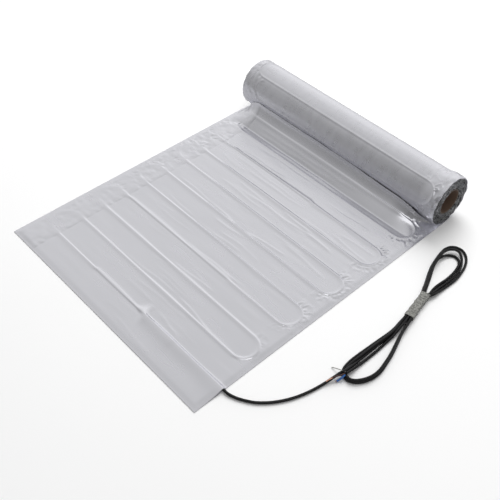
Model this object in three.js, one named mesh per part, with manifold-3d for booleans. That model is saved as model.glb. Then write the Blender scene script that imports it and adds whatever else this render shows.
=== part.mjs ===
// Underfloor heating mat: a 0.5 m wide foil laminate with a serpentine heating cable between its
// two foils. The first stretch lies flat, and the rest is still wound on its cardboard core.
// The cold lead comes out at the free end and is tied up in a hank beside the mat.
//
// Millimetres, +Z up. X runs across the mat, +Y from the free end to the roll. The origin is at
// the middle of the mat and its roll, on the floor.

import * as THREE from 'three';
import { mergeVertices } from 'three/addons/utils/BufferGeometryUtils.js';
import Module from 'manifold-3d';

const wasm = await Module();
wasm.setup();

// Mat
const MAT_WIDTH = 500;
const FLAT_LENGTH = 598; // free end to the line that the roll rests on
const FOIL = 0.4; // one foil with its glue
const CLEARANCE = 0.3;

// Roll
const TURNS = 9;
const TURN_GAP = 1.7; // air between two turns, held open by the cable
const FACETS_PER_TURN = 24;
const CORE_BORE = 47;
const CORE_WALL = 2.5;
const CORE_INSET = 2; // how far the core sits back from the mat's edge

// Heating cable and its runs
const CABLE_DIAMETER = 2.6;
const FIRST_RUN = 56.5; // free end to the run that the cold lead feeds
const SECOND_RUN = 110;
const RUN_PITCH = 48.6;
const FLAT_RUNS = 11;
const ROLL_RUNS = [12, 16]; // first and last run that show on the outer turn
const EDGE_MARGIN = 15; // mat edge to the middle of a U-turn's bow
const BEND_STEPS = 8;
const ROLL_SLIP = 8.5; // the wound runs lie this much nearer than their pitch puts them
const RIB_RADIUS = 1.6; // the cable's rib as it shows on the outer turn
const RIB_SINK = 0.2; // how far the rib's middle sits below the middle of the sheet
const CABLE_SIDES = 8;

// The foil's ridge over a cable, as shares of the cable's tunnel radius
const RIDGE_FOOT = 2.5;
const RIDGE_SHOULDER = 1.2;
const RIDGE_CROWN = 0.55;
const RIDGE_SHOULDER_HEIGHT = 1.6;

// Cold joint, between the heating cable and the cold lead
const JOINT_DIAMETER = 5.6;
const JOINT_LENGTH = 60;
const JOINT_START = 65; // middle of the mat to the joint
const JOINT_SIDES = 12;
const OVERLAP = 1; // how far two solids run into each other before they are joined or cut

// Cold lead and its hank
const LEAD_DIAMETER = 4.6;
const LEAD_SIDES = 8;
const LEAD_STEPS = 60;
const WIRE_STEPS = 8;
const HANK_ROWS = 2; // strands one above the other in the waist
const WAIST_STRANDS = 3; // strands side by side in the waist
const WRAP_THICKNESS = 0.5;
const WRAP_LENGTH = 60;
const CORE_WIRE_DIAMETER = 2.4;
const EARTH_DIAMETER = 1.4;

// The lead's route, from the point where it leaves the mat's edge
const LEAD_ROUTE = [
  [0.5, 0, 3.5], [5, 0, 3.5], [11, 0.6, 3.1], [20, 3.6, 2.5], [29.5, 8.2, 2.4], [39, 14, 2.4],
  [47.9, 20.6, 2.4], [57, 30, 2.4], [65.6, 40.9, 2.4], [73.7, 54.1, 2.4], [80.5, 68.3, 2.4],
  [85.8, 83.3, 2.4], [89.8, 98.3, 2.4], [92.5, 112, 2.5], [94.9, 125.8, 3.4], [97.2, 139.6, 5.6],
  [99.2, 151.5, 7.4],
];

// The hank's waist, from the same point, and its turn about Z
const HANK_PLACE = [93.5, 343.3];
const HANK_TURN = 11.1; // degrees

// The bare wires at the lead's free end, from the same point
const BLUE_ROUTE = [[107.3, 149.3, 5.6], [106, 145.8, 4.9], [104, 141, 2.8], [102.8, 136.5, 1.6]];
const BROWN_ROUTE = [
  [104.2, 150.5, 7.2], [102.8, 146.5, 8.3], [100.2, 140.5, 9], [97.2, 132.5, 8.4], [94.8, 123, 7.1],
];
const EARTH_ROUTE = [[93.9, 155.9, 7.4], [86.5, 153.6, 5.4], [80.5, 151.8, 1]];

// Outline of the hank's two loops, in its own frame: +Y towards the upper loop
const UPPER_OUTLINE = [
  [-11.4, 39], [-18.1, 67], [-24.3, 97], [-25.9, 126], [-23.2, 151], [-7.2, 166],
  [13.3, 160], [25.3, 138], [28, 110.5], [24.9, 82], [17.2, 52], [12, 36],
];
const UPPER_HOLE = [
  [-0.7, 38], [3.5, 60], [9.8, 85], [13.2, 105], [12.4, 124], [4.5, 138],
  [-5.5, 137.5], [-15, 123], [-17.2, 105], [-12.8, 82], [-7, 58],
];
const LOWER_OUTLINE = [
  [7, -48], [11.2, -78], [16.4, -112], [18, -146], [13.8, -166], [3.6, -183.6],
  [-5.5, -191.2], [-15.6, -194.7],
];
const LOWER_END = [[-22.5, -193.6], [-27.6, -190.2], [-34.4, -188]]; // faces that the lead and wires meet
const LOWER_SIDE = [
  [-36, -176], [-31, -142], [-25.5, -121.7], [-16.6, -88.6], [-10.3, -59.6], [-9, -44],
];
const LOWER_HOLE = [
  [2.9, -58], [0.1, -78], [-4.8, -108.4], [-10.6, -138], [-16.2, -163], [-20.2, -181],
  [-16.5, -188], [-8.3, -186], [5.2, -170], [11.2, -150], [11.3, -130], [8.3, -98.6], [4.8, -74],
];

// Worked out from the driving dimensions
const SHEET = 2 * FOIL;
const TURN_PITCH = SHEET + TURN_GAP;
const CORE_RADIUS = CORE_BORE / 2 + CORE_WALL;
const ROLL_RADIUS = CORE_RADIUS + CLEARANCE + SHEET + TURNS * TURN_PITCH;
const MAT_LENGTH = FLAT_LENGTH + turnRadius(Math.PI / 2);
const CABLE_HEIGHT = FOIL + CLEARANCE + CABLE_DIAMETER / 2;
const JOINT_HEIGHT = FOIL + CLEARANCE + JOINT_DIAMETER / 2;
const HANK_HEIGHT = HANK_ROWS * LEAD_DIAMETER + WRAP_THICKNESS + CLEARANCE;
const WAIST_HALF_WIDTH = (WAIST_STRANDS * LEAD_DIAMETER) / 2;

// Outer radius of the winding at an angle from the floor line, going up the back
function turnRadius(angle) {
  return ROLL_RADIUS - (TURN_PITCH * angle) / (2 * Math.PI);
}

// Where a run lies along the sheet, from the free end
function runPlace(run) {
  const slip = run < ROLL_RUNS[0] ? 0 : ROLL_SLIP;
  return run === 0 ? FIRST_RUN : SECOND_RUN + (run - 1) * RUN_PITCH - slip;
}

// A curve that goes from station to station, so that a straight run takes a single step
class StationCurve extends THREE.Curve {
  constructor(stations) {
    super();
    this.stations = stations;
  }

  get steps() {
    return this.stations.length - 1;
  }

  getPointAt(share, target = new THREE.Vector3()) {
    return target.copy(this.stations[Math.round(share * this.steps)].point);
  }

  getTangentAt(share, target = new THREE.Vector3()) {
    return target.copy(this.stations[Math.round(share * this.steps)].tangent);
  }
}

// A station at x across and s along the sheet, heading (dx, ds), with its middle at a height
// over the sheet's underside where it is flat, and inside the outer turn where it is wound
function station(x, s, dx, ds, height) {
  if (s <= FLAT_LENGTH) {
    return { point: new THREE.Vector3(x, s, height), tangent: new THREE.Vector3(dx, ds, 0) };
  }
  const angle = (s - FLAT_LENGTH) / ROLL_RADIUS;
  const radius = turnRadius(angle) - height;
  return {
    point: new THREE.Vector3(
      x, FLAT_LENGTH + radius * Math.sin(angle), ROLL_RADIUS - radius * Math.cos(angle)),
    tangent: new THREE.Vector3(dx, ds * Math.cos(angle), ds * Math.sin(angle)),
  };
}

// Stations of the serpentine from the start of one run to the end of another
function serpentine(firstRun, lastRun, startX, height, overrun = 0) {
  const stations = [];
  for (let run = firstRun; run <= lastRun; run += 1) {
    const way = run % 2 === 0 ? -1 : 1;
    const place = runPlace(run);
    const bow = (runPlace(run + 1) - place) / 2;
    const turnX = way * (MAT_WIDTH / 2 - EDGE_MARGIN - bow);
    if (run === firstRun) {
      stations.push(station(startX, place, way, 0, height));
    }
    if (run === lastRun) {
      stations.push(station(turnX + way * overrun, place, way, 0, height));
      break;
    }
    for (let step = 0; step <= BEND_STEPS; step += 1) {
      const angle = (step / BEND_STEPS - 0.5) * Math.PI;
      stations.push(station(
        turnX + way * bow * Math.cos(angle), place + bow + bow * Math.sin(angle),
        -way * Math.sin(angle), Math.cos(angle), height));
    }
  }
  return new StationCurve(stations);
}

// Two stations on one straight run
function straight(fromX, toX, place, height) {
  const way = Math.sign(toX - fromX);
  return new StationCurve([station(fromX, place, way, 0, height), station(toX, place, way, 0, height)]);
}

function polygon(points) {
  return new THREE.Shape(points.map(([x, y]) => new THREE.Vector2(x, y)));
}

function circle(radius, sides) {
  const corners = Array.from({ length: sides }, (_, i) => (2 * Math.PI * i) / sides);
  return polygon(corners.map((angle) => [radius * Math.cos(angle), radius * Math.sin(angle)]));
}

// A section carried along stations. On a flat route the section's x points down and its y sideways.
function sweep(section, route) {
  return new THREE.ExtrudeGeometry(section, { steps: route.steps, extrudePath: route });
}

// A section drawn in Y and Z, extruded along X about the middle of the mat
function acrossMat(section, length) {
  const geometry = new THREE.ExtrudeGeometry(section, { depth: length, bevelEnabled: false });
  geometry.translate(0, 0, -length / 2);
  return geometry.applyMatrix4(new THREE.Matrix4().makeBasis(
    new THREE.Vector3(0, 1, 0), new THREE.Vector3(0, 0, 1), new THREE.Vector3(1, 0, 0)));
}

// A closed geometry as a solid that can be joined and cut
function solid(geometry) {
  const bare = geometry.clone();
  bare.deleteAttribute('normal');
  bare.deleteAttribute('uv');
  const merged = mergeVertices(bare, 1e-4);
  return new wasm.Manifold(new wasm.Mesh({
    numProp: 3,
    vertProperties: new Float32Array(merged.attributes.position.array),
    triVerts: new Uint32Array(merged.index.array),
  }));
}

// The solid's triangles as a geometry again
function geometryOf(body) {
  const mesh = body.getMesh();
  const geometry = new THREE.BufferGeometry();
  geometry.setAttribute('position', new THREE.BufferAttribute(mesh.vertProperties, 3));
  geometry.setIndex(new THREE.BufferAttribute(mesh.triVerts, 1));
  geometry.computeVertexNormals();
  return geometry;
}

// Section of the laminate: flat from the free end, then wound inwards on the core
function sheetSection() {
  const outside = [];
  const inside = [];
  for (let i = 0; i <= TURNS * FACETS_PER_TURN; i += 1) {
    const angle = (2 * Math.PI * i) / FACETS_PER_TURN;
    for (const [side, radius] of [[outside, turnRadius(angle)], [inside, turnRadius(angle) - SHEET]]) {
      side.push([FLAT_LENGTH + radius * Math.sin(angle), ROLL_RADIUS - radius * Math.cos(angle)]);
    }
  }
  return polygon([[0, 0], ...outside, ...inside.reverse(), [0, SHEET]]);
}

// Section of the foil where it is drawn over a cable of a given tunnel radius
function ridgeSection(tunnel) {
  const top = SHEET + 2 * tunnel;
  const foot = RIDGE_FOOT * tunnel;
  const shoulder = RIDGE_SHOULDER * tunnel;
  const crown = RIDGE_CROWN * tunnel;
  const shoulderHeight = FOIL + RIDGE_SHOULDER_HEIGHT * tunnel;
  const profile = [
    [-foot, FOIL], [foot, FOIL], [shoulder, shoulderHeight], [crown, top], [-crown, top],
    [-shoulder, shoulderHeight],
  ];
  return polygon(profile.map(([side, up]) => [-up, side]));
}

// The foil laminate, flat and wound, with the ridges and the tunnels of its cable
function foilMat() {
  const cableTunnel = CABLE_DIAMETER / 2 + CLEARANCE;
  const jointTunnel = JOINT_DIAMETER / 2 + CLEARANCE;
  const edge = MAT_WIDTH / 2;
  const lastRun = FLAT_RUNS - 1;
  const firstBow = (runPlace(ROLL_RUNS[0]) - runPlace(ROLL_RUNS[0] - 1)) / 2;
  const body = solid(acrossMat(sheetSection(), MAT_WIDTH))
    .add(solid(sweep(ridgeSection(cableTunnel), serpentine(0, lastRun, JOINT_START, 0, SHEET))))
    .add(solid(sweep(ridgeSection(jointTunnel), straight(JOINT_START - SHEET, edge, FIRST_RUN, 0))))
    .add(solid(sweep(circle(RIB_RADIUS, CABLE_SIDES), serpentine(
      ROLL_RUNS[0], ROLL_RUNS[1], edge - EDGE_MARGIN - firstBow, SHEET / 2 + RIB_SINK))));
  return geometryOf(body
    .subtract(solid(sweep(
      circle(cableTunnel, CABLE_SIDES), serpentine(0, lastRun, JOINT_START, CABLE_HEIGHT))))
    .subtract(solid(sweep(
      circle(jointTunnel, JOINT_SIDES), straight(JOINT_START, edge + OVERLAP, FIRST_RUN, JOINT_HEIGHT)))));
}

// The heating cable between the foils of the flat stretch
function heatingCable() {
  const route = serpentine(0, FLAT_RUNS - 1, JOINT_START - CLEARANCE, CABLE_HEIGHT, -CLEARANCE);
  return sweep(circle(CABLE_DIAMETER / 2, CABLE_SIDES), route);
}

// The cold joint's sleeve, with the stretch of cold lead between it and the mat's edge
function coldJoint() {
  const start = JOINT_START + CLEARANCE;
  const sleeveEnd = start + JOINT_LENGTH;
  const sleeve = straight(start, sleeveEnd, FIRST_RUN, JOINT_HEIGHT);
  const lead = straight(sleeveEnd - OVERLAP, MAT_WIDTH / 2, FIRST_RUN, JOINT_HEIGHT);
  return geometryOf(solid(sweep(circle(JOINT_DIAMETER / 2, JOINT_SIDES), sleeve))
    .add(solid(sweep(circle(LEAD_DIAMETER / 2, JOINT_SIDES), lead))));
}

// The cardboard tube that the mat is wound on
function coreTube() {
  const section = circle(CORE_RADIUS, 2 * FACETS_PER_TURN);
  section.holes.push(circle(CORE_BORE / 2, 2 * FACETS_PER_TURN));
  return acrossMat(section, MAT_WIDTH - 2 * CORE_INSET);
}

// A round wire through chosen points
function wire(points, diameter, steps) {
  const route = new THREE.CatmullRomCurve3(points.map((point) => new THREE.Vector3(...point)));
  return new THREE.ExtrudeGeometry(circle(diameter / 2, LEAD_SIDES), { steps, extrudePath: route });
}

// Section across the hank's waist, grown by a margin all round
function waistSection(margin) {
  const half = WAIST_HALF_WIDTH + margin;
  const low = WRAP_THICKNESS + CLEARANCE - margin;
  const high = HANK_HEIGHT + margin;
  const corner = LEAD_DIAMETER / 2 + margin * (2 - Math.SQRT2);
  return polygon([
    [-half, low + corner], [-half + corner, low], [half - corner, low], [half, low + corner],
    [half, high - corner], [half - corner, high], [-half + corner, high], [-half, high - corner],
  ]);
}

// A section in X and Z, extruded along Y about the middle of the waist
function alongWaist(section, length) {
  const geometry = new THREE.ExtrudeGeometry(section, { depth: length, bevelEnabled: false });
  geometry.translate(0, 0, -length / 2);
  return geometry.rotateX(Math.PI / 2);
}

function splined(path, points) {
  path.splineThru(points.map(([x, y]) => new THREE.Vector2(x, y)));
  return path;
}

// One loop of the hank, with its eye
function hankLoop(outline, hole) {
  const [first, ...rest] = hole;
  const eye = splined(new THREE.Path().moveTo(...first), [...rest, first]);
  outline.holes.push(eye);
  return solid(new THREE.ExtrudeGeometry(outline, { depth: HANK_HEIGHT, bevelEnabled: false, curveSegments: 2 }));
}

// The lead's hank: an upper and a lower loop, joined by the waist that the wrap goes round
function leadHank() {
  const neck = WRAP_LENGTH / 2 + CLEARANCE;
  const upper = new THREE.Shape().moveTo(-WAIST_HALF_WIDTH, neck);
  splined(upper, UPPER_OUTLINE);
  upper.lineTo(WAIST_HALF_WIDTH, neck);
  const lower = new THREE.Shape().moveTo(WAIST_HALF_WIDTH, -neck);
  splined(lower, LOWER_OUTLINE);
  for (const [x, y] of LOWER_END) {
    lower.lineTo(x, y);
  }
  splined(lower, LOWER_SIDE);
  lower.lineTo(-WAIST_HALF_WIDTH, -neck);
  return geometryOf(hankLoop(upper, UPPER_HOLE)
    .add(hankLoop(lower, LOWER_HOLE))
    .add(solid(alongWaist(waistSection(0), 2 * neck + LEAD_DIAMETER))));
}

// The clear film wound round the hank's waist
function bindingWrap() {
  const section = waistSection(CLEARANCE + WRAP_THICKNESS);
  section.holes.push(waistSection(CLEARANCE));
  return alongWaist(section, WRAP_LENGTH);
}

function finish(color, roughness, metalness) {
  return new THREE.MeshStandardMaterial({ color, roughness, metalness });
}

const foil = finish(0xc4c4ca, 0.25, 0.9);
const cardboard = finish(0x8a6a4c, 0.9, 0);
const blackJacket = finish(0x17171a, 0.45, 0);
const cableJacket = finish(0x8f2a22, 0.5, 0);
const clearFilm = finish(0xa9aaa2, 0.3, 0);
const brownJacket = finish(0x6b3526, 0.5, 0);
const blueJacket = finish(0x3f63a8, 0.5, 0);
const tinnedCopper = finish(0xb9bab0, 0.4, 0.8);

function piece(name, geometry, material) {
  const mesh = new THREE.Mesh(geometry, material);
  mesh.name = name;
  return mesh;
}

// The mat, drawn from its free end
const mat = new THREE.Group();
mat.position.y = -MAT_LENGTH / 2;
const core = piece('core_tube', coreTube(), cardboard);
core.position.set(0, FLAT_LENGTH, ROLL_RADIUS);
mat.add(
  piece('foil_mat', foilMat(), foil),
  piece('heating_cable', heatingCable(), cableJacket),
  piece('cold_joint', coldJoint(), blackJacket),
  core,
);

// The cold lead, drawn from the point where it leaves the mat
const lead = new THREE.Group();
lead.position.set(MAT_WIDTH / 2, FIRST_RUN, 0);
lead.add(
  piece('cold_lead', wire(LEAD_ROUTE, LEAD_DIAMETER, LEAD_STEPS), blackJacket),
  piece('blue_core', wire(BLUE_ROUTE, CORE_WIRE_DIAMETER, WIRE_STEPS), blueJacket),
  piece('brown_core', wire(BROWN_ROUTE, CORE_WIRE_DIAMETER, WIRE_STEPS), brownJacket),
  piece('earth_braid', wire(EARTH_ROUTE, EARTH_DIAMETER, WIRE_STEPS), tinnedCopper),
);
mat.add(lead);

const hank = new THREE.Group();
hank.position.set(...HANK_PLACE, 0);
hank.rotation.z = THREE.MathUtils.degToRad(HANK_TURN);
hank.add(
  piece('lead_hank', leadHank(), blackJacket),
  piece('binding_wrap', bindingWrap(), clearFilm),
);
lead.add(hank);

const heatingMat = new THREE.Group();
heatingMat.add(mat);

export default heatingMat;
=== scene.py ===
from math import cos, pi, radians, sin

import bmesh
import bpy
import numpy as np
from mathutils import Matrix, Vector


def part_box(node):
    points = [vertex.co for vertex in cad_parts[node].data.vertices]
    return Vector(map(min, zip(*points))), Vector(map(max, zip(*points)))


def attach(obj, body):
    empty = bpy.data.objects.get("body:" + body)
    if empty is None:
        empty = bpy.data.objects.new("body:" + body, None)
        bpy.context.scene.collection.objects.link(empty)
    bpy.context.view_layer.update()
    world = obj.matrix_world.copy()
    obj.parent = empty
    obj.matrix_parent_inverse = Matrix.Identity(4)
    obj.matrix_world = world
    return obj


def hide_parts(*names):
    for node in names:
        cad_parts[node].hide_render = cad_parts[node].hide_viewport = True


bl_info = {
    "name": "Underfloor heating mat",
    "version": (1, 0, 0),
    "blender": (4, 5, 0),
    "location": "3D View > Sidebar > Heating mat",
    "description": "Builds a foil heating mat, partly unrolled, with its cold lead tied in a hank",
    "category": "Add Mesh",
}

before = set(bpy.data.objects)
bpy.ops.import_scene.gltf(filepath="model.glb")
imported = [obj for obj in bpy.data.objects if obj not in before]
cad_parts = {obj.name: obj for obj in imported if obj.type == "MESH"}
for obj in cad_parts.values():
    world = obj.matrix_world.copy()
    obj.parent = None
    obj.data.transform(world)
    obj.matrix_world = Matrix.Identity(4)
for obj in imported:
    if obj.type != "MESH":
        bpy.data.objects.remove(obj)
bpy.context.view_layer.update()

MM = 0.001

# Places that the frame gives
MAT_LOW, MAT_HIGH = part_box("foil_mat")
CORE_LOW, CORE_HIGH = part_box("core_tube")
HALF_WIDTH = MAT_HIGH[0]
FREE_END = MAT_LOW[1]
ROLL_Y = (CORE_LOW[1] + CORE_HIGH[1]) / 2
ROLL_Z = (CORE_LOW[2] + CORE_HIGH[2]) / 2
FLAT_LENGTH = ROLL_Y - FREE_END
CORE_RADIUS = (CORE_HIGH[2] - CORE_LOW[2]) / 2

# The heating cable's runs, along the sheet from its free end, and the runs that show on each stretch
FIRST_RUN = 56.5 * MM
SECOND_RUN = 110 * MM
RUN_PITCH = 48.6 * MM
LAST_FLAT_RUN = 11
FIRST_WOUND_RUN = 12
LAST_SHOWN_RUN = 18
WOUND_SLIP = 8.5 * MM
EDGE_MARGIN = 15 * MM
LEAD_EXIT = np.array([HALF_WIDTH, FREE_END + FIRST_RUN, 0])

# The turns on the roll, and the line along the mat beyond which its two foils are pressed together
TURNS = 9
SEAM_X = -190 * MM

# Colour of the studio's floor, as linear red, green and blue, and the darker colour painted as shade into
# what shiny pieces mirror of it
FLOOR_WHITE = (0.96, 0.96, 0.96)
MIRRORED_FLOOR_PAINTED_SHADE = (0.42, 0.42, 0.43)

# The lead's route from its exit to the hank, from the exit, in metres
LEAD_ROUTE = [
    (0.0005, 0, 0.0035), (0.005, 0, 0.0035), (0.011, 0.0006, 0.0031), (0.02, 0.0036, 0.0025),
    (0.0295, 0.0082, 0.0024), (0.039, 0.014, 0.0024), (0.0479, 0.0206, 0.0024), (0.057, 0.03, 0.0024),
    (0.0656, 0.0409, 0.0024), (0.0737, 0.0541, 0.0024), (0.0805, 0.0683, 0.0024),
    (0.0858, 0.0833, 0.0024), (0.0898, 0.0983, 0.0024), (0.0925, 0.112, 0.0025),
    (0.0949, 0.1258, 0.0034), (0.0972, 0.1396, 0.0056), (0.0992, 0.1515, 0.0074),
]

# The hank's waist, where its strands lie side by side in two rows
WAIST_PLACE = (0.0935, 0.3433)
WAIST_TURN = radians(11.1)
WAIST_STEPS = (-0.024, -0.008, 0.008, 0.024)
STRAND_PITCH = 4.6 * MM
LOWER_ROW = 3.1 * MM
UPPER_ROW = 7.7 * MM

# The hank's strands, from the lead's exit, in the order in which the lead runs through them
RISE_FROM_LEAD = [
    (0.1016, 0.1549, 0.0096), (0.1018, 0.1652, 0.0082), (0.1013, 0.178, 0.0052),
    (0.1008, 0.1914, 0.0029), (0.1007, 0.2038, 0.0024), (0.1009, 0.2188, 0.0024),
    (0.1009, 0.2359, 0.0024), (0.1015, 0.252, 0.0024), (0.1023, 0.268, 0.0024),
    (0.102, 0.2821, 0.0024), (0.1003, 0.2969, 0.0027),
]
INNER_UPPER_LOOP = [
    (0.0806, 0.3821, 0.0028), (0.0759, 0.3925, 0.0024), (0.0696, 0.4065, 0.0024),
    (0.063, 0.4202, 0.0028), (0.0576, 0.4317, 0.0046), (0.0545, 0.4408, 0.0062),
    (0.0528, 0.4487, 0.0069), (0.0525, 0.4575, 0.0066), (0.0538, 0.467, 0.0052),
    (0.0573, 0.4755, 0.0034), (0.0627, 0.481, 0.0024), (0.0697, 0.4824, 0.0024),
    (0.0765, 0.4796, 0.0024), (0.0819, 0.4734, 0.0024), (0.0853, 0.4647, 0.0024),
    (0.0874, 0.4557, 0.0024), (0.0889, 0.4437, 0.0024), (0.0892, 0.4286, 0.0024),
    (0.0881, 0.4135, 0.0024), (0.0875, 0.3995, 0.0024), (0.0892, 0.3864, 0.0024),
]
OUTER_LOWER_LOOP = [
    (0.1073, 0.2969, 0.0027), (0.1116, 0.2831, 0.0024), (0.1173, 0.268, 0.0024),
    (0.1233, 0.252, 0.0024), (0.1289, 0.2359, 0.0024), (0.1333, 0.2188, 0.0024),
    (0.1369, 0.2028, 0.0024), (0.1375, 0.1897, 0.0024), (0.1353, 0.1767, 0.0024),
    (0.1303, 0.165, 0.0024), (0.1233, 0.1564, 0.0024), (0.115, 0.1516, 0.0024),
    (0.107, 0.1518, 0.0024), (0.1004, 0.1554, 0.0024), (0.0958, 0.1616, 0.0024),
    (0.0934, 0.1707, 0.0024), (0.0925, 0.1827, 0.0024), (0.0929, 0.1978, 0.0024),
    (0.0943, 0.2188, 0.0024), (0.0954, 0.2359, 0.0024), (0.0967, 0.253, 0.0024),
    (0.0977, 0.269, 0.0024), (0.0973, 0.2831, 0.0024), (0.0953, 0.2979, 0.0027),
]
OUTER_UPPER_LOOP = [
    (0.0771, 0.3801, 0.0028), (0.0718, 0.3925, 0.0024), (0.0651, 0.4065, 0.0024),
    (0.0586, 0.4206, 0.0024), (0.0532, 0.4346, 0.0024), (0.0493, 0.4487, 0.0024),
    (0.0461, 0.4627, 0.0024), (0.044, 0.4758, 0.0024), (0.044, 0.4868, 0.0024),
    (0.0478, 0.4964, 0.0024), (0.0554, 0.5025, 0.0024), (0.065, 0.5041, 0.0024),
    (0.0745, 0.5007, 0.0024), (0.0829, 0.4932, 0.0024), (0.0896, 0.4828, 0.0024),
    (0.0944, 0.4702, 0.0024), (0.0974, 0.4567, 0.0024), (0.0996, 0.4426, 0.0024),
    (0.0998, 0.4286, 0.0024), (0.0989, 0.4134, 0.0026), (0.0979, 0.398, 0.0042),
    (0.0969, 0.3833, 0.0062),
]
INNER_LOWER_LOOP = [
    (0.1095, 0.2946, 0.0072), (0.1125, 0.2799, 0.0069), (0.1173, 0.2649, 0.0069),
    (0.1229, 0.249, 0.0068), (0.1282, 0.233, 0.0067), (0.1325, 0.216, 0.0067),
    (0.1354, 0.2011, 0.0067), (0.1359, 0.1887, 0.0066), (0.1336, 0.1767, 0.0066),
    (0.1288, 0.1657, 0.0066), (0.1228, 0.1575, 0.0066), (0.1158, 0.1531, 0.0064),
    (0.1087, 0.1538, 0.0058), (0.103, 0.1577, 0.005), (0.0994, 0.1639, 0.0045),
    (0.0974, 0.1733, 0.0046), (0.0975, 0.1849, 0.0054), (0.098, 0.1976, 0.0058),
    (0.0989, 0.2165, 0.006), (0.0997, 0.2334, 0.0061), (0.1009, 0.2503, 0.0063),
    (0.1017, 0.266, 0.0067), (0.1006, 0.2799, 0.0069), (0.0981, 0.2946, 0.0073),
]
MIDDLE_UPPER_LOOP = [
    (0.0794, 0.3775, 0.0072), (0.0746, 0.3895, 0.0067), (0.068, 0.4035, 0.0069),
    (0.0619, 0.4175, 0.0076), (0.0569, 0.4305, 0.0094), (0.0539, 0.4405, 0.0109),
    (0.0522, 0.4505, 0.0114), (0.0504, 0.4625, 0.0104), (0.0494, 0.4725, 0.0086),
    (0.0502, 0.4815, 0.0073), (0.0538, 0.4879, 0.0069), (0.0593, 0.4924, 0.0068),
    (0.066, 0.4933, 0.0064), (0.0718, 0.4912, 0.005), (0.0774, 0.4867, 0.0036),
    (0.0825, 0.4805, 0.0027), (0.0867, 0.4733, 0.0024), (0.0902, 0.4647, 0.0024),
    (0.0926, 0.4547, 0.0024), (0.0943, 0.4416, 0.0024), (0.0945, 0.4286, 0.0024),
    (0.0936, 0.4132, 0.0028), (0.0931, 0.3977, 0.0046), (0.0934, 0.3832, 0.0064),
]
RETURN_TO_END = [
    (0.1029, 0.2936, 0.0072), (0.1048, 0.2791, 0.0066), (0.1062, 0.2666, 0.0044),
    (0.1065, 0.2517, 0.0027), (0.1072, 0.2359, 0.0024), (0.1075, 0.2188, 0.0024),
    (0.1073, 0.2058, 0.0024), (0.107, 0.1925, 0.0028), (0.1066, 0.1805, 0.0044),
    (0.1063, 0.168, 0.0068), (0.1061, 0.1556, 0.0092),
]

# The bare wires at the lead's free end, from the lead's exit
BLUE_ROUTE = [
    (0.1063, 0.1525, 0.0086), (0.106, 0.1465, 0.006), (0.1044, 0.1412, 0.003), (0.1028, 0.1365, 0.0017),
]
BROWN_ROUTE = [
    (0.1052, 0.1535, 0.0098), (0.1035, 0.1475, 0.0094), (0.1002, 0.1405, 0.009), (0.0972, 0.1325, 0.0084),
    (0.0948, 0.123, 0.0071),
]
EARTH_ROUTE = [
    (0.1045, 0.1553, 0.0108), (0.0985, 0.155, 0.0086), (0.0925, 0.1542, 0.0061), (0.0865, 0.1532, 0.0036),
    (0.0805, 0.1518, 0.001),
]

# The foil's larger creases: where each starts and ends across the mat and along it, and its height, in mm
CREASES = [
    (-170, -60, 316, 311, 0.35), (-75, 25, 313, 304, 0.45), (20, 122, 307, 321, 0.5),
    (-40, 40, 289, 294, 0.4), (-5, 55, 275, 279, 0.3), (-50, 100, 380, 383, 0.5),
    (30, 112, 396, 391, 0.55), (95, 168, 389, 383, 0.6), (-85, 0, 392, 385, 0.3),
    (-10, 62, 262, 267, 0.3), (-150, -60, 268, 262, 0.3), (-40, 130, 212, 217, 0.35),
    (-10, 102, 165, 172, 0.4), (-85, 70, 115, 124, 0.35), (60, 160, 123, 113, 0.5),
    (-20, 60, 95, 99, 0.3), (40, 112, 101, 98, 0.3), (66, 142, 77, 66, 0.45), (-40, 62, 85, 82, 0.25),
    (20, 130, 21, 14, 0.3), (130, 226, 419, 412, 0.4), (140, 228, 429, 436, 0.35),
    (58, 222, 409, 406, 0.5), (-152, 40, 438, 434, 0.3), (-100, 62, 425, 428, 0.25),
    (-160, -8, 455, 460, -0.5), (-182, 60, 518, 521, -0.5), (-182, 118, 530, 533, -0.4),
    (-150, 90, 508, 510, 0.35), (90, 205, 340, 331, 0.3), (-120, 10, 372, 368, 0.3),
    (60, 190, 468, 474, 0.3),
]

# How wide the steep side of each run's ridge is, in mm
STEEP_WIDTHS = (1.5, 2.5, 2.6, 1.7, 1.5, 1.7, 2.2, 2.3, 1.8, 2.4, 2.0, 2.0) + 7 * (1.6,)

# Stretches of the runs whose front is the steep side: the run, and where they start and end, in mm
STEEP_FRONTS = [(0, -85, 62), (3, -190, 98), (8, -172, 60)]


# Shapes worked out with numpy

def smooth_step(share):
    """Rises from 0 to 1 as share does, with level ends: 3t squared minus 2t cubed."""
    t = np.clip(share, 0, 1)
    return t * t * (3 - 2 * t)


def soft_noise(x, y, cell_x, cell_y, seed):
    """Random values on a lattice of the given cells, blended with smooth_step between corners, -1 to 1."""
    cells = 64
    values = np.random.default_rng(seed).uniform(-1, 1, (cells, cells))
    u = x / cell_x + 1000.37
    v = y / cell_y + 1000.71
    i = np.floor(u).astype(int)
    j = np.floor(v).astype(int)
    a = smooth_step(u - i)
    b = smooth_step(v - j)
    left, right = i % cells, (i + 1) % cells
    front, rear = j % cells, (j + 1) % cells
    near = values[left, front] * (1 - a) + values[right, front] * a
    far = values[left, rear] * (1 - a) + values[right, rear] * a
    return near * (1 - b) + far * b


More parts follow.
